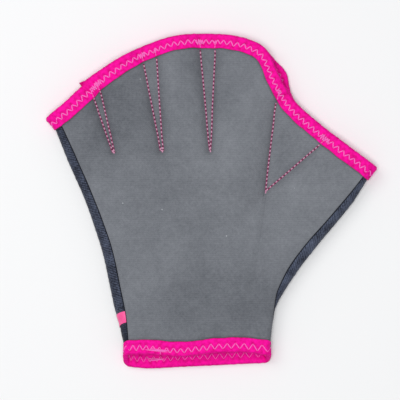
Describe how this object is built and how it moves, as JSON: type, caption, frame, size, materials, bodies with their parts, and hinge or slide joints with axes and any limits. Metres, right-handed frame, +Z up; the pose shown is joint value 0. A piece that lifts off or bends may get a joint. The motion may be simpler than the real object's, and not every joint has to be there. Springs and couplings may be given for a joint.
{
  "type": "neoprene mitt",
  "caption": "Open-finger webbed neoprene mitt for water exercise, with folded tape bindings round the wrist and finger openings, side gussets and a ribbon tab.",
  "frame": {"origin": "on the surface that the mitt lies on, under the middle of its bounding box", "axes": "+Z up out of the palm, +Y from the wrist to the fingers, +X towards the thumb"},
  "size_m": [0.205, 0.2078, 0.0179],
  "materials": {
    "neoprene": "matte knit-faced neoprene",
    "stretch_gusset": "dark stretch knit",
    "binding_tape": "pink folded stretch tape",
    "ribbon": "pink satin ribbon"
  },
  "bodies": {
    "root": {"palm_panel": "neoprene", "back_panel": "neoprene", "thumb_gusset": "stretch_gusset", "little_finger_gusset": "stretch_gusset", "finger_binding": "binding_tape", "wrist_binding": "binding_tape", "side_tab": "ribbon"}
  },
  "joints": []
}
